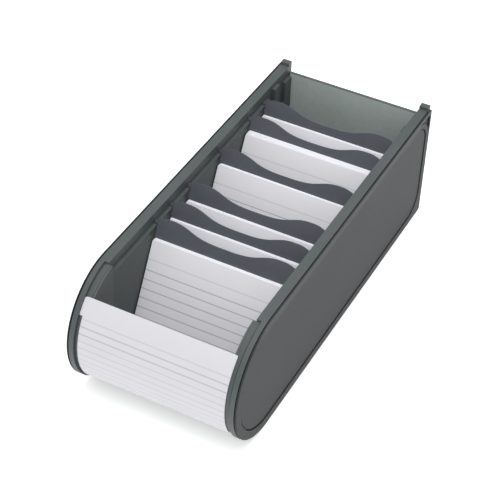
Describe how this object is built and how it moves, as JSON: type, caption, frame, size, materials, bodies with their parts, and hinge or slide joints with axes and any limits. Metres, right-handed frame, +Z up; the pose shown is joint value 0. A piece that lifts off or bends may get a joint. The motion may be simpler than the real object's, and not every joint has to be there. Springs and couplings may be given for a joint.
{
  "type": "desk card file tray",
  "caption": "Open desk card tray with a half-round nose, sliding leaning dividers, packs of ruled index cards and one card wrapped round the nose.",
  "frame": {"origin": "on the ground under the middle of the tray's outline", "axes": "+Z up, +Y to the back along the tray's length, +X to the right seen from the nose"},
  "size_m": [0.13, 0.319, 0.1024],
  "materials": {
    "side_plastic": "dark grey-green moulded plastic, fine matte texture",
    "cover_plastic": "dark grey moulded plastic, fine matte texture",
    "tray_plastic": "dark grey-green moulded plastic, satin",
    "back_plastic": "mid grey-green moulded plastic, smooth satin",
    "divider_plastic": "dark blue-grey sheet plastic, fine matte grain",
    "card_stock": "white index card with thin grey ruling",
    "screw_steel": "bright zinc-plated steel",
    "foot_rubber": "black moulded rubber, matte"
  },
  "bodies": {
    "tray": {"floor_pan": "tray_plastic", "front_apron": "tray_plastic", "back_wall": "back_plastic", "left_side_frame": "side_plastic", "right_side_frame": "side_plastic", "left_side_cover": "cover_plastic", "right_side_cover": "cover_plastic", "left_frame_screws": "screw_steel", "right_frame_screws": "screw_steel", "rubber_feet": "foot_rubber"},
    "divider_1": {"divider_1": "divider_plastic"},
    "card_pack_1": {"card_pack_1": "card_stock"},
    "divider_2": {"divider_2": "divider_plastic"},
    "card_pack_2": {"card_pack_2": "card_stock"},
    "divider_3": {"divider_3": "divider_plastic"},
    "card_pack_3": {"card_pack_3": "card_stock"},
    "divider_4": {"divider_4": "divider_plastic"},
    "card_pack_4": {"card_pack_4": "card_stock"},
    "divider_5": {"divider_5": "divider_plastic"},
    "card_pack_5": {"card_pack_5": "card_stock"},
    "divider_6": {"divider_6": "divider_plastic"},
    "card_pack_6": {"card_pack_6": "card_stock"},
    "front_card": {"front_card": "card_stock"}
  },
  "joints": [
    {"name": "divider_1_slide", "type": "slide", "parent": "tray", "child": "divider_1", "axis": [0, 1, 0], "range_m": [-0.034, 0.016]},
    {"name": "divider_2_slide", "type": "slide", "parent": "tray", "child": "divider_2", "axis": [0, 1, 0], "range_m": [-0.016, 0.0195]},
    {"name": "divider_3_slide", "type": "slide", "parent": "tray", "child": "divider_3", "axis": [0, 1, 0], "range_m": [-0.0195, 0.024]},
    {"name": "divider_4_slide", "type": "slide", "parent": "tray", "child": "divider_4", "axis": [0, 1, 0], "range_m": [-0.042, 0.022]},
    {"name": "divider_5_slide", "type": "slide", "parent": "tray", "child": "divider_5", "axis": [0, 1, 0], "range_m": [-0.038, 0.019]},
    {"name": "divider_6_slide", "type": "slide", "parent": "tray", "child": "divider_6", "axis": [0, 1, 0], "range_m": [-0.019, 0.006]},
    {"name": "card_pack_1_tip", "type": "hinge", "parent": "divider_1", "child": "card_pack_1", "pos_m": [0, -0.09791, 0.0185], "axis": [1, 0, 0], "range_deg": [0, 52]},
    {"name": "card_pack_2_tip", "type": "hinge", "parent": "divider_2", "child": "card_pack_2", "pos_m": [0, -0.07561, 0.0185], "axis": [1, 0, 0], "range_deg": [0, 11]},
    {"name": "card_pack_3_tip", "type": "hinge", "parent": "divider_3", "child": "card_pack_3", "pos_m": [0, -0.05041, 0.0185], "axis": [1, 0, 0], "range_deg": [0, 13.5]},
    {"name": "card_pack_4_tip", "type": "hinge", "parent": "divider_4", "child": "card_pack_4", "pos_m": [0, -0.00301, 0.0185], "axis": [1, 0, 0], "range_deg": [0, 28]},
    {"name": "card_pack_5_tip", "type": "hinge", "parent": "divider_5", "child": "card_pack_5", "pos_m": [0, 0.04039, 0.0185], "axis": [1, 0, 0], "range_deg": [0, 24.5]},
    {"name": "card_pack_6_tip", "type": "hinge", "parent": "divider_6", "child": "card_pack_6", "pos_m": [0, 0.06849, 0.0185], "axis": [1, 0, 0], "range_deg": [0, 3.5]},
    {"name": "front_card_turn", "type": "hinge", "parent": "tray", "child": "front_card", "pos_m": [0, -0.11, 0.0505], "axis": [1, 0, 0], "range_deg": [-30, 41]}
  ]
}
